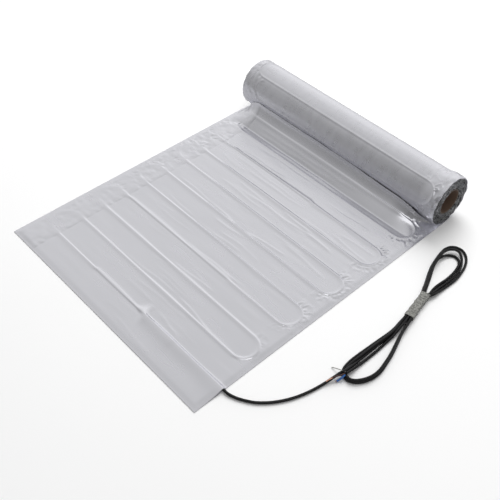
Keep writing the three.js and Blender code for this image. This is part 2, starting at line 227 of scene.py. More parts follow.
def smooth_route(points, step):
    """Centripetal Catmull-Rom curve through the points, then points at equal steps along it."""
    p = np.asarray(points, float)
    p = np.vstack([2 * p[0] - p[1], p, 2 * p[-1] - p[-2]])
    knots = np.concatenate([[0], np.cumsum(np.linalg.norm(np.diff(p, axis=0), axis=1) ** 0.5)])
    p0, p1, p2, p3 = (p[i:len(p) - 3 + i, None] for i in range(4))
    t0, t1, t2, t3 = (knots[i:len(p) - 3 + i, None, None] for i in range(4))
    t = t1 + (t2 - t1) * np.linspace(0, 1, 24, endpoint=False)[None, :, None]
    a = ((t1 - t) * p0 + (t - t0) * p1) / (t1 - t0)
    b = ((t2 - t) * p1 + (t - t1) * p2) / (t2 - t1)
    c = ((t3 - t) * p2 + (t - t2) * p3) / (t3 - t2)
    d = ((t2 - t) * a + (t - t0) * b) / (t2 - t0)
    e = ((t3 - t) * b + (t - t1) * c) / (t3 - t1)
    curve = np.vstack([(((t2 - t) * d + (t - t1) * e) / (t2 - t1)).reshape(-1, 3), p[-2]])
    arc = np.concatenate([[0], np.cumsum(np.linalg.norm(np.diff(curve, axis=0), axis=1))])
    stops = np.linspace(0, arc[-1], max(2, round(arc[-1] / step)) + 1)
    return np.column_stack([np.interp(stops, arc, curve[:, axis]) for axis in range(3)])


def carried_rings(path, radius, sides):
    """A round profile carried along a path: centre + r cos(a) sideways + r sin(a) upwards.

    radius is one number or an array of one row for each point of the path and one column for each side."""
    tangent = np.gradient(path, axis=0)
    tangent /= np.linalg.norm(tangent, axis=1)[:, None]
    side = np.cross(tangent, (0, 0, 1))
    side /= np.linalg.norm(side, axis=1)[:, None]
    up = np.cross(side, tangent)
    angle = np.linspace(0, 2 * pi, sides, endpoint=False)
    r = np.broadcast_to(radius, (len(path), sides))[..., None]
    return path[:, None] + r * (np.cos(angle)[None, :, None] * side[:, None]
                                + np.sin(angle)[None, :, None] * up[:, None])


def ringed_piece(name, rings, material, sharp=75, ends_meet=False):
    """A closed surface from rings of points: each ring is joined to the next one by four-sided faces.

    The two ends are closed by one face each, or joined to each other where ends_meet is true."""
    rows, sides = rings.shape[:2]
    index = np.arange(rows * sides).reshape(rows, sides)
    if ends_meet:
        index = np.vstack([index, index[:1]])
    beside = np.roll(index, -1, axis=1)
    quads = np.stack([index[:-1], beside[:-1], beside[1:], index[1:]], axis=-1).reshape(-1, 4)
    caps = [] if ends_meet else [index[0][::-1].tolist(), index[-1].tolist()]
    mesh = bpy.data.meshes.new(name)
    mesh.from_pydata(rings.reshape(-1, 3).tolist(), [], quads.tolist() + caps)
    shape = bmesh.new()
    shape.from_mesh(mesh)
    bmesh.ops.recalc_face_normals(shape, faces=shape.faces)
    shape.to_mesh(mesh)
    shape.free()
    mesh.polygons.foreach_set("use_smooth", np.ones(len(mesh.polygons), bool))
    mesh.set_sharp_from_angle(angle=radians(sharp))
    mesh.materials.append(material)
    piece = bpy.data.objects.new(name, mesh)
    bpy.context.scene.collection.objects.link(piece)
    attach(piece, "root")
    return piece


def edged_columns(band_width, band_count, middle_count):
    """Places across the mat, from edge to edge, closer together in a band at each edge."""
    band = np.linspace(-HALF_WIDTH, -HALF_WIDTH + band_width, band_count)
    middle = np.linspace(band[-1], -band[-1], middle_count)[1:-1]
    return np.concatenate([band, middle, -band[::-1]])


def run_place(run):
    """Where a run lies along the sheet; the runs on the roll have slipped a little."""
    if run == 0:
        return FIRST_RUN
    slip = WOUND_SLIP if run >= FIRST_WOUND_RUN else 0
    return SECOND_RUN + (run - 1) * RUN_PITCH - slip


def bow_of(run):
    """Which way the run goes, where its bow's middle is across and along the sheet, and the bow's radius."""
    way = -1 if run % 2 == 0 else 1
    radius = (run_place(run + 1) - run_place(run)) / 2
    return way, way * (HALF_WIDTH - EDGE_MARGIN - radius), run_place(run) + radius, radius


def ridge_share(x, s, first_run, last_run, gentle, added=0, margin=0):
    """How much of the cable's ridge shows, 1 over the cable: exp(-(distance / width) squared).

    The width goes from gentle on the free end's side of the cable to steep on the roll's side. The run's
    steep width grows by added, and both widths grow by the share margin beyond the seam."""
    total = np.zeros(np.broadcast(x, s).shape)
    reach = HALF_WIDTH - EDGE_MARGIN - RUN_PITCH / 2
    width_noise = 1 + 0.3 * soft_noise(x, s, 70 * MM, 40 * MM, 14)
    width_noise = width_noise * (1 + margin * smooth_step((SEAM_X + 6 * MM - x) / (20 * MM)))
    for run in range(first_run, last_run + 1):
        steep = STEEP_WIDTHS[run] * MM + added
        way, middle_x, middle_s, radius = bow_of(run)
        right = HALF_WIDTH if run == 0 else reach
        away = np.hypot(x - np.clip(x, -reach, right), s - run_place(run))
        # back is 1 straight behind the cable and -1 straight in front of it
        back = np.clip((s - run_place(run)) / np.maximum(away, 0.01 * MM), -1, 1)
        for turned_run, low, high in STEEP_FRONTS:
            inside = smooth_step((x / MM - low) / 12) * smooth_step((high - x / MM) / 12)
            back = np.where(turned_run == run, back * (1 - 2 * inside), back)
        width = (gentle + (steep - gentle) * (1 + back) / 2) * width_noise
        total = np.maximum(total, np.exp(-(away / width) ** 2))
        out = np.hypot(x - middle_x, s - middle_s)
        off = out - radius
        back = np.clip(np.sign(off) * (s - middle_s) / np.maximum(out, 1 * MM), -1, 1)
        width = (gentle + (steep - gentle) * (1 + back) / 2) * width_noise
        width = np.where((way > 0) & (off > 0), 0.7 * width, width)
        total = np.where(way * (x - middle_x) >= 0, np.maximum(total, np.exp(-(off / width) ** 2)), total)
    return total


def bow_crumple(x, s, first_run, last_run, seed):
    """Creases that fan out from each bow towards the mat's edge: a noise of the angle round its middle."""
    total = np.zeros(np.broadcast(x, s).shape)
    for run in range(first_run, last_run + 1):
        way, middle_x, middle_s, radius = bow_of(run)
        off = np.hypot(x - middle_x, s - middle_s) - radius
        angle = np.arctan2(s - middle_s, way * (x - middle_x))
        fan = soft_noise(angle, off, 0.16, 9 * MM, seed + run)
        near = smooth_step(off / (3 * MM)) * smooth_step((26 * MM - off) / (20 * MM))
        total += np.where(way * (x - middle_x) > -5 * MM, (1 - 2 * np.abs(fan)) * near, 0)
    return total


def creased(x, s, start_x, end_x, start_s, end_s, height):
    """One long crease: a bell-shaped ridge, steep at its back, about a slightly wavy line that fades out."""
    share = np.clip((x - start_x) / (end_x - start_x), 0, 1)
    line = start_s + (end_s - start_s) * share + 0.9 * MM * np.sin(x / (13 * MM) + 40 * start_s / MM)
    off = s - line
    width = np.where(off > 0, 1.3, 3.6) * MM
    if height < 0:
        width = np.where(off > 0, 3.6, 1.3) * MM
    fade = smooth_step(5 * share) * smooth_step(5 * (1 - share))
    return abs(height) * fade * np.exp(-(off / width) ** 2)


def long_creases(x, s):
    """The larger creases as listed, and faint ones at random places."""
    faint_creases = 46
    total = np.zeros(np.broadcast(x, s).shape)
    for start_x, end_x, start_s, end_s, height in CREASES:
        total += creased(x, s, start_x * MM, end_x * MM, start_s * MM, end_s * MM, height * MM)
    rng = np.random.default_rng(11)
    for _ in range(faint_creases):
        start_x = rng.uniform(-180, 120) * MM
        start_s = rng.uniform(15, 500) * MM
        length = rng.uniform(40, 130) * MM
        lean = rng.uniform(-6, 6) * MM
        height = rng.uniform(0.08, 0.2) * MM
        total += creased(x, s, start_x, start_x + length, start_s, start_s + lean, height)
    return total


# Materials

def shared_group(name, inputs, outputs):
    """An empty shader node group with named inputs and outputs, its own input and output nodes."""
    group = bpy.data.node_groups.new(name, "ShaderNodeTree")
    for label, kind, value in inputs:
        socket = group.interface.new_socket(name=label, in_out="INPUT", socket_type=kind)
        if value is not None:
            socket.default_value = value
    for label, kind in outputs:
        group.interface.new_socket(name=label, in_out="OUTPUT", socket_type=kind)
    return group, group.nodes.new("NodeGroupInput"), group.nodes.new("NodeGroupOutput")


def grain_group():
    """Fine grain: a noise of a given size, as a bump in the normal and as a mask."""
    group, given, out = shared_group("fine_grain", [
        ("Vector", "NodeSocketVector", None), ("Scale", "NodeSocketFloat", 500.0),
        ("Distance", "NodeSocketFloat", 0.0001), ("Normal", "NodeSocketVector", None),
    ], [("Normal", "NodeSocketVector"), ("Mask", "NodeSocketFloat")])
    noise = group.nodes.new("ShaderNodeTexNoise")
    noise.inputs["Detail"].default_value = 3
    bump = group.nodes.new("ShaderNodeBump")
    link = group.links.new
    link(given.outputs["Vector"], noise.inputs["Vector"])
    link(given.outputs["Scale"], noise.inputs["Scale"])
    link(noise.outputs["Fac"], bump.inputs["Height"])
    link(given.outputs["Distance"], bump.inputs["Distance"])
    link(given.outputs["Normal"], bump.inputs["Normal"])
    link(bump.outputs["Normal"], out.inputs["Normal"])
    link(noise.outputs["Fac"], out.inputs["Mask"])
    return group


def blend_group():
    """Slow change over the surface: a large noise that blends one value and colour into another."""
    group, given, out = shared_group("slow_change", [
        ("Vector", "NodeSocketVector", None), ("Scale", "NodeSocketFloat", 12.0),
        ("Low", "NodeSocketFloat", 0.2), ("High", "NodeSocketFloat", 0.3),
        ("Low Color", "NodeSocketColor", (1, 1, 1, 1)), ("High Color", "NodeSocketColor", (1, 1, 1, 1)),
    ], [("Value", "NodeSocketFloat"), ("Color", "NodeSocketColor")])
    noise = group.nodes.new("ShaderNodeTexNoise")
    noise.inputs["Detail"].default_value = 4
    value = group.nodes.new("ShaderNodeMapRange")
    value.inputs["From Min"].default_value = 0.3
    value.inputs["From Max"].default_value = 0.7
    colour = group.nodes.new("ShaderNodeMix")
    colour.data_type = "RGBA"
    share = group.nodes.new("ShaderNodeMapRange")
    share.inputs["From Min"].default_value = 0.3
    share.inputs["From Max"].default_value = 0.7
    link = group.links.new
    link(given.outputs["Vector"], noise.inputs["Vector"])
    link(given.outputs["Scale"], noise.inputs["Scale"])
    link(noise.outputs["Fac"], value.inputs["Value"])
    link(given.outputs["Low"], value.inputs["To Min"])
    link(given.outputs["High"], value.inputs["To Max"])
    link(noise.outputs["Fac"], share.inputs["Value"])
    link(share.outputs["Result"], colour.inputs["Factor"])
    link(given.outputs["Low Color"], colour.inputs["A"])
    link(given.outputs["High Color"], colour.inputs["B"])
    link(value.outputs["Result"], out.inputs["Value"])
    link(colour.outputs["Result"], out.inputs["Color"])
    return group


def group_named(name, make):
    return bpy.data.node_groups.get(name) or make()


def finish(name, colour, low, high, metallic=0.0, grain_size=1.0 * MM, grain_depth=0.02 * MM, tone=0.85,
           stretch=(1, 1, 1), patch=60 * MM):
    """A material with a slow change of roughness and tone, and a fine grain in its normal."""
    material = bpy.data.materials.new(name)
    material.use_nodes = True
    nodes = material.node_tree.nodes
    link = material.node_tree.links.new
    shader = nodes["Principled BSDF"]
    shader.inputs["Metallic"].default_value = metallic
    place = nodes.new("ShaderNodeTexCoord")
    mapping = nodes.new("ShaderNodeMapping")
    mapping.inputs["Scale"].default_value = stretch
    change = nodes.new("ShaderNodeGroup")
    change.node_tree = group_named("slow_change", blend_group)
    change.inputs["Scale"].default_value = 1 / patch
    change.inputs["Low"].default_value = low
    change.inputs["High"].default_value = high
    change.inputs["Low Color"].default_value = (*[tone * part for part in colour], 1)
    change.inputs["High Color"].default_value = (*colour, 1)
    grain = nodes.new("ShaderNodeGroup")
    grain.node_tree = group_named("fine_grain", grain_group)
    grain.inputs["Scale"].default_value = 1 / grain_size
    grain.inputs["Distance"].default_value = grain_depth
    link(place.outputs["Object"], mapping.inputs["Vector"])
    link(mapping.outputs["Vector"], change.inputs["Vector"])
    link(mapping.outputs["Vector"], grain.inputs["Vector"])
    link(change.outputs["Value"], shader.inputs["Roughness"])
    link(change.outputs["Color"], shader.inputs["Base Color"])
    link(grain.outputs["Normal"], shader.inputs["Normal"])
    return material


def material_named(name, **values):
    return bpy.data.materials.get(name) or finish(name, **values)


def chosen_colours():
    return bpy.context.scene.heating_mat_colours


def foil_finish():
    return material_named("bright_foil", colour=chosen_colours().foil, low=0.2, high=0.3, metallic=1.0,
                          tone=0.97, grain_size=2.6 * MM, grain_depth=0.014 * MM, stretch=(0.35, 1, 1),
                          patch=40 * MM)


def wound_foil_finish():
    return material_named("wound_foil", colour=chosen_colours().foil, low=0.24, high=0.36, metallic=1.0,
                          tone=0.92, grain_size=1.5 * MM, grain_depth=0.11 * MM, stretch=(1.4, 0.5, 0.5),
                          patch=16 * MM)


def foil_edge_finish():
    return material_named("foil_edge", colour=chosen_colours().foil_edges, low=0.25, high=0.45, metallic=0.9,
                          tone=0.06, grain_size=2.4 * MM, grain_depth=0.9 * MM, patch=5.5 * MM)


def board_finish():
    return material_named("paper_board", colour=chosen_colours().board, low=0.75, high=0.95, tone=0.8,
                          grain_size=0.8 * MM, grain_depth=0.06 * MM, stretch=(0.3, 1, 1), patch=12 * MM)


def lead_finish():
    material = material_named("black_lead_jacket", colour=chosen_colours().lead, low=0.22, high=0.32,
                              tone=0.8, grain_size=0.5 * MM, grain_depth=0.01 * MM, patch=20 * MM)
    material.node_tree.nodes["Principled BSDF"].inputs["Specular IOR Level"].default_value = 0.38
    return material


def film_finish():
    material = bpy.data.materials.get("creased_film")
    if material:
        return material
    material = finish("creased_film", colour=chosen_colours().film, low=0.08, high=0.2, tone=0.3,
                      grain_size=2.2 * MM, grain_depth=0.9 * MM, patch=2.4 * MM)
    material.node_tree.nodes["Principled BSDF"].inputs["Alpha"].default_value = 0.82
    return material


def wire_finish(name, colour):
    return material_named(name, colour=colour, low=0.3, high=0.45,
                          grain_size=0.5 * MM, grain_depth=0.01 * MM, patch=6 * MM)


# Sizes and colours that a user would change

class HeatingMatSizes(bpy.types.PropertyGroup):
    foil_lift: bpy.props.FloatProperty(
        name="Foil lift", description="Height of the foil between two cable runs, over the floor",
        default=2.25 * MM, min=2.1 * MM, max=3 * MM, subtype="DISTANCE")
    hump_height: bpy.props.FloatProperty(
        name="Hump height", description="Height of the slack foil where it meets the roll",
        default=29 * MM, min=0, max=32 * MM, subtype="DISTANCE")
    crest_height: bpy.props.FloatProperty(
        name="Crest height", description="Height of the foil over the heating cable",
        default=3.6 * MM, min=3.4 * MM, max=5 * MM, subtype="DISTANCE")
    joint_crest: bpy.props.FloatProperty(
        name="Joint crest", description="Height of the foil over the cold joint",
        default=6.8 * MM, min=6.6 * MM, max=8 * MM, subtype="DISTANCE")
    rib_height: bpy.props.FloatProperty(
        name="Rib height", description="How far the cable's ribs stand out of the roll",
        default=1.0 * MM, min=0, max=2 * MM, subtype="DISTANCE")
    lead_diameter: bpy.props.FloatProperty(
        name="Lead diameter", description="Outer diameter of the cold lead",
        default=4.6 * MM, min=3 * MM, max=8 * MM, subtype="DISTANCE")


def colour_choice(name, description, default):
    return bpy.props.FloatVectorProperty(
        name=name, description=description, default=default, min=0, max=1, size=3, subtype="COLOR")


class HeatingMatColours(bpy.types.PropertyGroup):
    foil: colour_choice("Foil", "Tint of the foil's faces", (0.87, 0.87, 0.915))
    foil_edges: colour_choice("Foil edges", "Lightest tone of the roll's ends", (0.9, 0.9, 0.92))
    board: colour_choice("Core board", "The cardboard core inside", (0.15, 0.096, 0.066))
    board_edge: colour_choice("Core board edge", "The cardboard core's cut ends", (0.2, 0.18, 0.155))
    lead: colour_choice("Cold lead", "Jacket of the cold lead", (0.007, 0.007, 0.0075))
    film: colour_choice("Binding film", "Film round the hank", (0.42, 0.42, 0.39))
    cable: colour_choice("Heating cable", "Jacket of the heating cable", (0.28, 0.03, 0.02))
    blue_core: colour_choice("Blue core", "Jacket of the neutral core", (0.05, 0.17, 0.5))
    brown_core: colour_choice("Brown core", "Jacket of the live core", (0.06, 0.025, 0.018))
    copper: colour_choice("Copper", "Bare copper at the cores' ends", (0.95, 0.5, 0.34))
    tinned: colour_choice("Earth strand", "Tinned strands of the earth", (0.62, 0.62, 0.58))


# Pieces

class HEATMAT_OT_flat_foil(bpy.types.Operator):
    """Builds the flat stretch of the mat, with the ridges over its cable"""

    bl_idname = "heatmat.flat_foil"
    bl_label = "Flat foil"

    # The foil's height at the mat's edge, and how far in it has risen
    edge_height = 0.9 * MM
    edge_rise = 12 * MM
    # Where the slack foil leaves the floor, how far on it is at its top, and how its creases lie on it
    hump_start = FLAT_LENGTH - 85 * MM
    hump_rise = 44 * MM
    crease_shift = 0.655
    # Where the cold joint's ridge starts and grows lower, and how far behind the run it reaches
    joint_start = 32 * MM
    joint_end = 128 * MM
    joint_back = 22 * MM
    # How far under the roll's skin the foil ends
    into_roll = 1.6 * MM

    def execute(self, context):
        sizes = context.scene.heating_mat_sizes
        if sizes.crest_height <= sizes.foil_lift:
            raise ValueError("The crest over the cable must be higher than the foil beside it")
        x, s = self.grid()
        rings = self.rings(x, s, self.height(x, s, sizes))
        piece = ringed_piece("foil_flat", rings, foil_finish())
        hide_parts("foil_mat")
        return {"FINISHED"}

    def grid(self):
        """Columns across the mat, close together at its edges, and rows along it, close at each run."""
        columns = edged_columns(63 * MM, 49, 88)
        beside = 6 * MM
        rows = [np.linspace(0, run_place(0) - beside, 28)]
        for run in range(LAST_FLAT_RUN + 1):
            rows.append(run_place(run) + np.linspace(-5.2, 5.2, 13) * MM)
            end = run_place(run + 1) if run < LAST_FLAT_RUN else FLAT_LENGTH + beside
            rows.append(np.linspace(run_place(run) + beside, end - beside, 23))
        upturn_rows = FLAT_LENGTH - np.linspace(60, 47.6, 30) * MM
        rows = np.unique(np.round(np.concatenate([*rows, upturn_rows]), 5))
        rows = rows[np.diff(rows, prepend=-1) > 0.2 * MM]
        return np.meshgrid(columns, np.append(rows[rows < FLAT_LENGTH - 0.3 * MM], FLAT_LENGTH))

    def hump(self, x, s, sizes):
        """Slack foil in front of the roll: H (1 - (1 - t) ^ 1.25), t from 0 to 1 towards the roll."""
        t = np.clip((s - self.hump_start) / self.hump_rise, 0, 1)
        across = smooth_step((HALF_WIDTH + x) / (58 * MM)) * smooth_step((HALF_WIDTH - x) / (84 * MM))
        across = across * (1 - 0.12 * smooth_step((x + 60 * MM) / (240 * MM)))
        slack = 1 + 0.12 * soft_noise(x, 0 * s, 90 * MM, 1, 17)
        return sizes.hump_height * across * slack * (1 - (1 - t) ** 1.25)

    def upturn(self, s, hump, reach):
        """Rise of the slack foil to the roll: a round of radius f that touches the hump's top and the roll.

        rise = f - sqrt(f squared - (s - start) squared), and f grows with the hump to 16 mm."""
        f = 1 * MM + 15 * MM * np.clip(hump / (13 * MM), 0, 1)
        top = hump + 2.5 * MM
        start = FLAT_LENGTH - np.sqrt((reach + f) ** 2 - np.minimum(ROLL_Z - top - f, reach) ** 2)
        along = np.clip(s - start, 0, 0.995 * f)
        return f - np.sqrt(f ** 2 - along ** 2)

    def creases(self, x, s, s_shifted):
        """Long creases + crumples beyond the bows, more of them near the roll + the pressed left margin."""
        creases = long_creases(x, s_shifted)
        creases += 0.1 * MM * soft_noise(x, s, 46 * MM, 8 * MM, 5)
        growing = smooth_step((s - 60 * MM) / (300 * MM))
        creases += 0.75 * MM * bow_crumple(x, s_shifted, 0, LAST_FLAT_RUN, 40) * growing
        pressed = smooth_step((SEAM_X - x) / (2 * MM))
        creases += pressed * 0.45 * MM * soft_noise(x, s, 10 * MM, 7 * MM, 8)
        seam = np.exp(-((x - SEAM_X) / (1.3 * MM)) ** 2)
        return creases - 0.3 * MM * seam

    def height(self, x, s, sizes):
        """Height of the foil: a low swell between the runs, drawn up to a crest over the cable.

        height = swell + (crest - swell) * ridge share + creases + hump + upturn, and never into the roll.
        On the hump, ridges and creases lie further back by a share of its height."""
        hump = self.hump(x, s, sizes)
        s_shifted = s + self.crease_shift * hump
        lift = smooth_step(np.minimum(HALF_WIDTH - np.abs(x), s) / self.edge_rise)
        swell = self.edge_height + lift * (sizes.foil_lift - self.edge_height)
        swell += lift * 0.12 * MM * (1 + soft_noise(x, s, 120 * MM, 45 * MM, 3))
        margin = smooth_step((SEAM_X + 4 * MM - x) / (14 * MM)) * lift
        swell += 0.7 * MM * margin
        on_joint = (s < FIRST_RUN + self.joint_back) * smooth_step((x - self.joint_start) / (24 * MM))
        behind_joint = smooth_step((x - self.joint_end) / (10 * MM))
        joint_crest = sizes.joint_crest - 0.6 * MM * behind_joint
        crest = sizes.crest_height + on_joint * (joint_crest - sizes.crest_height)
        gentle = (4.4 + 13 * on_joint) * MM
        ridge = ridge_share(x, s_shifted, 0, LAST_FLAT_RUN, gentle, 2.3 * MM * on_joint, 0.9)
        creases = self.creases(x, s, s_shifted)
        z = swell + (crest - swell) * ridge + lift * (1 - 0.85 * ridge) * creases
        near_roll = smooth_step((s - FLAT_LENGTH + 60 * MM) / (25 * MM))
        reach = ROLL_Z - self.into_roll
        under = ROLL_Z - np.sqrt(np.maximum(reach ** 2 - (FLAT_LENGTH - s) ** 2, 0))
        z = z + hump + near_roll * 0.25 * MM * soft_noise(x, s, 12 * MM, 6 * MM, 19)
        z = z + self.upturn(s, hump, reach)
        below_roll = np.maximum(under - 0.3 * MM, self.edge_height)
        return np.where(FLAT_LENGTH - s < reach, np.minimum(z, below_roll), z)

    def rings(self, x, s, z):
        """Each row of the grid, closed by two points on the floor under its ends."""
        y = FREE_END + s
        top = np.stack([x, y, z], axis=-1)
        floor = np.stack([x[:, [-1, 0]], y[:, [-1, 0]], np.zeros((len(x), 2))], axis=-1)
        return np.concatenate([top, floor], axis=1)


class HEATMAT_OT_wound_foil(bpy.types.Operator):
    """Builds the roll: its outer turn, with the cable's ribs, and the windings under it"""

    bl_idname = "heatmat.wound_foil"
    bl_label = "Wound foil"

    # Thickness of the outer turn and of the windings, and the gap at the core
    sheet = 0.8 * MM
    inner_sheet = 0.9 * MM
    core_gap = 0.3 * MM

    def execute(self, context):
        self.outer_turn(context.scene.heating_mat_sizes)
        self.windings()
        return {"FINISHED"}

    def radius_at(self, angle):
        """Outer radius of the winding, which falls by one pitch a turn."""
        pitch = (ROLL_Z - self.sheet - self.core_gap - CORE_RADIUS) / TURNS
        return ROLL_Z - pitch * angle / (2 * pi)

    def around(self, x, angle, radius):
        """Points at an angle from straight down, which rises at the roll's back first."""
        return np.stack([x, ROLL_Y + radius * np.sin(angle), ROLL_Z - radius * np.cos(angle)], axis=-1)

    def outer_turn(self, sizes):
        """Radius = winding + rib over the cable - the foil's sag between two runs + crumples at the ends."""
        x, angle = np.meshgrid(edged_columns(45 * MM, 32, 60), np.linspace(0, 2 * pi, 330))
        s = FLAT_LENGTH + ROLL_Z * angle
        runs = (LAST_FLAT_RUN, LAST_SHOWN_RUN)
        rib = sizes.rib_height * ridge_share(x, s, *runs, 2.6 * MM)
        sag = 0.9 * MM * (1 - ridge_share(x, s, *runs, 17 * MM, 15 * MM))
        end = smooth_step((np.abs(x) - HALF_WIDTH + 24 * MM) / (24 * MM))
        creases = 0.1 * MM * soft_noise(x, s, 60 * MM, 6 * MM, 21)
        creases += 0.05 * MM * soft_noise(x, s, 9 * MM, 3 * MM, 22)
        creases += 0.7 * MM * bow_crumple(x, s, *runs, 60)
        creases += end * (0.7 + 0.8 * (x > 0)) * MM * soft_noise(x, s, 7 * MM, 9 * MM, 25)
        from_floor = np.minimum(angle, 2 * pi - angle)
        flare = smooth_step((x - HALF_WIDTH + 42 * MM) / (30 * MM))
        creases += 2.0 * MM * flare * smooth_step((from_floor - 0.6) / 0.8)
        radius = self.radius_at(angle) + smooth_step(from_floor / 0.35) * (rib - sag + creases)
        jagged = 0.9 * MM * soft_noise(s, s, 7 * MM, 7 * MM, 27)
        across = np.sign(x) * np.minimum(np.abs(x), HALF_WIDTH - 1.0 * MM + jagged)
        outer = self.around(across, angle, radius)
        inner = self.around(across, angle, self.radius_at(angle) - self.sheet)[:, [-1, 0]]
        rings = np.concatenate([outer, inner], axis=1)
        piece = ringed_piece("foil_outer_turn", rings, wound_foil_finish())
        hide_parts("foil_mat")

    def windings(self):
        """The inner turns: a spiral sheet with uneven edges and an uneven radius near both ends."""
        ends = np.array([0, 1.5, 5, 12, 25]) * MM - HALF_WIDTH
        columns = np.concatenate([ends, -ends[::-1]])
        count = (TURNS - 1) * 90
        x, angle = np.meshgrid(columns, np.linspace(2 * pi, 2 * pi * TURNS, count))
        s = ROLL_Z * angle
        near_end = smooth_step((np.abs(x) - 220 * MM) / (25 * MM))
        wobble = near_end * 0.6 * MM * soft_noise(s, x, 7 * MM, 300 * MM, 31)
        ragged = 2.6 * MM * np.abs(soft_noise(s, x, 5 * MM, 400 * MM, 33)) + 0.4 * MM
        across = np.sign(x) * np.minimum(np.abs(x), HALF_WIDTH - ragged)
        radius = self.radius_at(angle) + wobble
        outer = self.around(across, angle, radius)
        inner = self.around(across, angle, radius - self.inner_sheet)[:, ::-1]
        rings = np.concatenate([outer, inner], axis=1)
        piece = ringed_piece("foil_windings", rings, foil_edge_finish())
        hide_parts("foil_mat")


class HEATMAT_OT_core(bpy.types.Operator):
    """Builds the cardboard core that the mat is wound on"""

    bl_idname = "heatmat.core"
    bl_label = "Core"

    wall = 2.5 * MM
    bevel = 0.4 * MM
    steps_round = 128

    def execute(self, context):
        """A tube turned about X: its wall's outline, with small bevels at both ends, carried round."""
        half = CORE_HIGH[0]
        bevel = self.bevel
        bore = CORE_RADIUS - self.wall
        outline = np.array([
            (-half + bevel, CORE_RADIUS), (half - bevel, CORE_RADIUS), (half, CORE_RADIUS - bevel),
            (half, bore + bevel), (half - bevel, bore), (-half + bevel, bore),
            (-half, bore + bevel), (-half, CORE_RADIUS - bevel),
        ])
        angle = np.linspace(0, 2 * pi, self.steps_round, endpoint=False)[:, None]
        x = np.broadcast_to(outline[:, 0], (self.steps_round, len(outline)))
        rings = np.stack([
            x, ROLL_Y + outline[:, 1] * np.sin(angle), ROLL_Z - outline[:, 1] * np.cos(angle)], axis=-1)
        piece = ringed_piece("core_board", rings, board_finish(), ends_meet=True)
        piece.data.materials.append(material_named(
            "board_cut_edge", colour=chosen_colours().board_edge, low=0.7, high=0.9, tone=0.5,
            grain_size=0.9 * MM, grain_depth=0.2 * MM, patch=2.5 * MM))
        normals = np.empty(3 * len(piece.data.polygons))
        piece.data.polygons.foreach_get("normal", normals)
        piece.data.polygons.foreach_set("material_index", (np.abs(normals[::3]) > 0.9).astype(np.int32))
        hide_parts("core_tube")
        return {"FINISHED"}


class HEATMAT_OT_cable(bpy.types.Operator):
    """Gives the heating cable and the cold joint inside the mat their finishes"""

    bl_idname = "heatmat.cable"
    bl_label = "Cable inside the mat"

    def execute(self, context):
        red = material_named("red_cable_jacket", colour=chosen_colours().cable, low=0.35, high=0.5,
                             grain_size=0.6 * MM, grain_depth=0.01 * MM, patch=15 * MM)
        for node, material in (("heating_cable", red), ("cold_joint", lead_finish())):
            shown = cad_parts[node]
            shown.data.materials.clear()
            shown.data.materials.append(material)
        return {"FINISHED"}


def waist_slot(column, row):
    """Points of one straight strand in the waist, from the lower to the upper end."""
    along = np.array(WAIST_STEPS)
    x = WAIST_PLACE[0] + column * STRAND_PITCH * cos(WAIST_TURN) - along * sin(WAIST_TURN)
    y = WAIST_PLACE[1] + column * STRAND_PITCH * sin(WAIST_TURN) + along * cos(WAIST_TURN)
    return np.column_stack([x, y, np.full(len(along), row)])


class HEATMAT_OT_cold_lead(bpy.types.Operator):
    """Builds the cold lead: from the mat's edge to the hank, and all strands of the hank"""

    bl_idname = "heatmat.cold_lead"
    bl_label = "Cold lead"

    def execute(self, context):
        diameter = context.scene.heating_mat_sizes.lead_diameter
        if diameter > 1.1 * STRAND_PITCH:
            raise ValueError("The cold lead is too thick for the strands' places in its hank")
        path = LEAD_EXIT + smooth_route(np.vstack([
            LEAD_ROUTE, RISE_FROM_LEAD, waist_slot(0, LOWER_ROW),
            INNER_UPPER_LOOP, waist_slot(1, LOWER_ROW)[::-1],
            OUTER_LOWER_LOOP, waist_slot(-1, LOWER_ROW),
            OUTER_UPPER_LOOP, waist_slot(1, UPPER_ROW)[::-1],
            INNER_LOWER_LOOP, waist_slot(-1, UPPER_ROW),
            MIDDLE_UPPER_LOOP, waist_slot(0, UPPER_ROW)[::-1], RETURN_TO_END,
        ]), 1.6 * MM)
        rings = carried_rings(path, diameter / 2, 14)
        piece = ringed_piece("cold_lead_cord", rings, lead_finish())
        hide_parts("cold_lead", "lead_hank")
        return {"FINISHED"}


